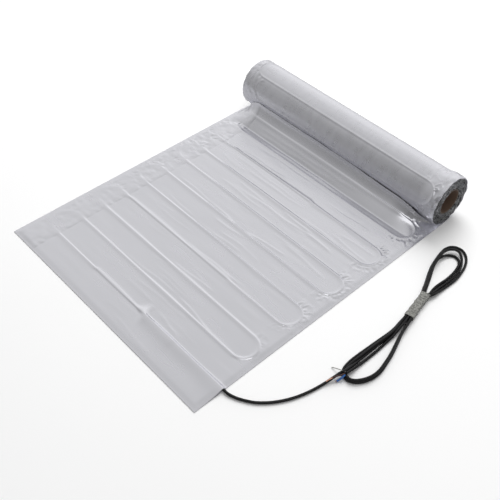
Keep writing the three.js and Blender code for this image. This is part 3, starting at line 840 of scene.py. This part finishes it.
class HEATMAT_OT_wires(bpy.types.Operator):
    """Builds the two insulated cores and the bare earth strand at the lead's free end"""

    bl_idname = "heatmat.wires"
    bl_label = "Bare wires"

    step = 0.5 * MM
    twist = 900

    def execute(self, context):
        colours = chosen_colours()
        blue = wire_finish("blue_core_jacket", colours.blue_core)
        brown = wire_finish("brown_core_jacket", colours.brown_core)
        self.core("blue_core", BLUE_ROUTE, 3.3 * MM, 2 * MM, blue, "blue_jacket")
        self.core("brown_core", BROWN_ROUTE, 2.4 * MM, 12 * MM, brown, "brown_jacket")
        tinned = material_named("tinned_strand", colour=colours.tinned, low=0.3, high=0.5, metallic=0.9,
                                grain_size=0.4 * MM, grain_depth=0.05 * MM, patch=3 * MM)
        path = LEAD_EXIT + smooth_route(EARTH_ROUTE, self.step)
        earth = ringed_piece("earth_strand", self.twisted(path, 0.75 * MM), tinned)
        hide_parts("earth_braid")
        return {"FINISHED"}

    def core(self, name, route, diameter, bare, jacket, slot):
        """A jacket over the first stretch of the route and twisted copper over the last."""
        path = LEAD_EXIT + smooth_route(route, self.step)
        cut = len(path) - round(bare / self.step)
        wire = ringed_piece(name + "_wire", carried_rings(path[:cut + 1], diameter / 2, 16), jacket)
        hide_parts(name)
        copper = material_named("bare_copper", colour=chosen_colours().copper, low=0.25, high=0.4,
                                metallic=0.95, grain_size=0.4 * MM, grain_depth=0.03 * MM, patch=3 * MM)
        tip = ringed_piece(name + "_copper", self.twisted(path[cut - 1:], 0.8 * MM), copper)
        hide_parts(name)

    def twisted(self, path, radius):
        """Strands laid in a helix: radius (0.88 + 0.12 cos(6 angle + twist * way along the path))."""
        sides = 36
        angle = np.linspace(0, 2 * pi, sides, endpoint=False)
        along = np.arange(len(path))[:, None] * self.step
        return carried_rings(path, radius * (0.88 + 0.12 * np.cos(6 * angle + self.twist * along)), sides)


class HEATMAT_OT_binding(bpy.types.Operator):
    """Builds the film that is wound round the hank's waist"""

    bl_idname = "heatmat.binding"
    bl_label = "Binding film"

    half_length = 30 * MM
    half_width = 7.8 * MM
    half_height = 5.25 * MM
    middle_height = 5.4 * MM
    floor_gap = 0.15 * MM
    squareness = 0.42

    def execute(self, context):
        """A squared ring carried along the waist, with creases on it.

        across = width * cos(turn) ^ squareness, height = middle + half height * sin(turn) ^ squareness."""
        along = np.linspace(-self.half_length, self.half_length, 110)[:, None]
        turn = np.linspace(0, 2 * pi, 96, endpoint=False)[None, :]
        side = np.sign(np.cos(turn)) * np.abs(np.cos(turn)) ** self.squareness
        up = np.sign(np.sin(turn)) * np.abs(np.sin(turn)) ** self.squareness
        flare = 1 + 0.1 * smooth_step((np.abs(along) - 20 * MM) / (10 * MM))
        crease = 0.45 * MM * soft_noise(along + 0.06 * turn * MM, turn, 2.6 * MM, 0.5, 71)
        crease = crease + 0.3 * MM * soft_noise(along + 1.6 * MM * turn, turn, 1.7 * MM, 1.4, 72)
        across = (self.half_width * flare + crease) * side
        height = np.maximum(self.middle_height + (self.half_height + crease) * up, self.floor_gap)
        x = LEAD_EXIT[0] + WAIST_PLACE[0] + across * cos(WAIST_TURN) - along * sin(WAIST_TURN)
        y = LEAD_EXIT[1] + WAIST_PLACE[1] + across * sin(WAIST_TURN) + along * cos(WAIST_TURN)
        outside = np.stack([x, y, height], axis=-1)
        middle = outside.mean(axis=1, keepdims=True)
        inside = middle + (outside - middle) * 0.94
        rings = np.concatenate([outside, inside[::-1]])
        piece = ringed_piece("binding_film", rings, film_finish(), ends_meet=True)
        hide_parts("binding_wrap")
        return {"FINISHED"}


class HEATMAT_OT_studio(bpy.types.Operator):
    """Sets up the floor, the studio light and the camera"""

    bl_idname = "heatmat.studio"
    bl_label = "Studio"

    camera_place = (0.734808, -0.685344, 0.987001)
    camera_turn = (43.3227, -1.0430, 47.2250)
    lens = 55.523

    def execute(self, context):
        context.scene.view_settings.view_transform = "Standard"
        self.camera(context)
        self.floor()
        self.room(context)
        self.lamp("key_softbox", (-0.8, 1.6, 2.4), (-33, -17, 0), 2.4, 71, False)
        self.lamp("top_softbox", (1.0, -0.3, 2.3), (8, 22, 0), 1.9, 7, True)
        return {"FINISHED"}

    def camera(self, context):
        data = bpy.data.cameras.new("photo_camera")
        data.sensor_width = 36
        data.lens = self.lens
        data.clip_start = 0.01
        camera = bpy.data.objects.new("photo_camera", data)
        camera.location = self.camera_place
        camera.rotation_euler = [radians(turn) for turn in self.camera_turn]
        context.scene.collection.objects.link(camera)
        context.scene.camera = camera

    def floor(self):
        mesh = bpy.data.meshes.new("floor")
        reach = 8.0
        level = -0.2 * MM
        sides = [(-reach, -reach), (reach, -reach), (reach, reach), (-reach, reach)]
        mesh.from_pydata([(x, y, level) for x, y in sides], [], [(0, 1, 2, 3)])
        mesh.materials.append(self.floor_finish())
        floor = bpy.data.objects.new("floor", mesh)
        bpy.context.scene.collection.objects.link(floor)

    def floor_finish(self):
        """A pale, matt floor with painted shade: glossy rays see a darker colour, so a shiny piece mirrors
        it darker, as a studio's front is.
        """
        pale = material_named("pale_floor", colour=FLOOR_WHITE, low=0.85, high=0.95, tone=0.995,
                              grain_size=3 * MM, grain_depth=0.002 * MM, patch=400 * MM)
        nodes = pale.node_tree.nodes
        link = pale.node_tree.links.new
        shader = nodes["Principled BSDF"]
        # Painted shade: the floor's colour is swapped for a darker one for glossy rays, so shiny pieces
        # mirror a dimmer floor
        painted_shade = nodes.new("ShaderNodeMix")
        painted_shade.data_type = "RGBA"
        painted_shade.inputs["B"].default_value = (*MIRRORED_FLOOR_PAINTED_SHADE, 1)
        rays = nodes.new("ShaderNodeLightPath")
        link(rays.outputs["Is Glossy Ray"], painted_shade.inputs["Factor"])
        link(shader.inputs["Base Color"].links[0].from_socket, painted_shade.inputs["A"])
        link(painted_shade.outputs["Result"], shader.inputs["Base Color"])
        return pale

    def room(self, context):
        """A studio with a white backdrop behind the roll that darkens towards the front and the right."""
        world = bpy.data.worlds.new("studio")
        world.use_nodes = True
        nodes = world.node_tree.nodes
        link = world.node_tree.links.new
        place = nodes.new("ShaderNodeTexCoord")
        axes = nodes.new("ShaderNodeSeparateXYZ")
        ramp = nodes.new("ShaderNodeMapRange")
        ramp.inputs["From Min"].default_value = -1.0
        ramp.inputs["From Max"].default_value = 1.0
        shade = nodes.new("ShaderNodeValToRGB")
        stops = ((0.05, 0.27), (0.25, 0.4), (0.5, 0.55), (0.72, 0.63), (0.87, 0.85), (1.0, 0.93))
        while len(shade.color_ramp.elements) < len(stops):
            shade.color_ramp.elements.new(0.5)
        for element, (position, level) in zip(shade.color_ramp.elements, stops):
            element.position = position
            element.color = (level, level, level, 1)
        link(place.outputs["Generated"], axes.inputs["Vector"])
        link(axes.outputs["Y"], ramp.inputs["Value"])
        link(ramp.outputs["Result"], shade.inputs["Fac"])
        side = nodes.new("ShaderNodeMapRange")
        side.inputs["From Min"].default_value = -0.75
        side.inputs["From Max"].default_value = 0.95
        side.inputs["To Min"].default_value = 1.16
        side.inputs["To Max"].default_value = 0.42
        link(axes.outputs["X"], side.inputs["Value"])
        link(side.outputs["Result"], nodes["Background"].inputs["Strength"])
        link(shade.outputs["Color"], nodes["Background"].inputs["Color"])
        context.scene.world = world

    def lamp(self, name, place, turn, size, power, mirrored):
        data = bpy.data.lights.new(name, "AREA")
        data.shape = "DISK"
        data.size = size
        data.energy = power
        lamp = bpy.data.objects.new(name, data)
        lamp.location = place
        lamp.rotation_euler = [radians(angle) for angle in turn]
        lamp.visible_glossy = mirrored
        bpy.context.scene.collection.objects.link(lamp)


class HEATMAT_PT_panel(bpy.types.Panel):
    """Lists the mat's sizes and colours and the steps that build it"""

    bl_idname = "HEATMAT_PT_panel"
    bl_label = "Heating mat"
    bl_space_type = "VIEW_3D"
    bl_region_type = "UI"
    bl_category = "Heating mat"

    def draw(self, context):
        for group in (context.scene.heating_mat_sizes, context.scene.heating_mat_colours):
            for name in group.bl_rna.properties.keys():
                if name not in ("rna_type", "name"):
                    self.layout.prop(group, name)
        for step in STEPS:
            self.layout.operator(step.bl_idname)


STEPS = (
    HEATMAT_OT_studio,
    HEATMAT_OT_binding,
    HEATMAT_OT_wires,
    HEATMAT_OT_cold_lead,
    HEATMAT_OT_core,
    HEATMAT_OT_cable,
    HEATMAT_OT_wound_foil,
    HEATMAT_OT_flat_foil,
)
CLASSES = (HeatingMatSizes, HeatingMatColours, *STEPS, HEATMAT_PT_panel)


def register():
    for item in CLASSES:
        bpy.utils.register_class(item)
    bpy.types.Scene.heating_mat_sizes = bpy.props.PointerProperty(type=HeatingMatSizes)
    bpy.types.Scene.heating_mat_colours = bpy.props.PointerProperty(type=HeatingMatColours)


def unregister():
    del bpy.types.Scene.heating_mat_colours
    del bpy.types.Scene.heating_mat_sizes
    for item in reversed(CLASSES):
        bpy.utils.unregister_class(item)


def main():
    register()
    for step in STEPS:
        area, name = step.bl_idname.split(".")
        getattr(getattr(bpy.ops, area), name)()


if __name__ == "__main__":
    main()
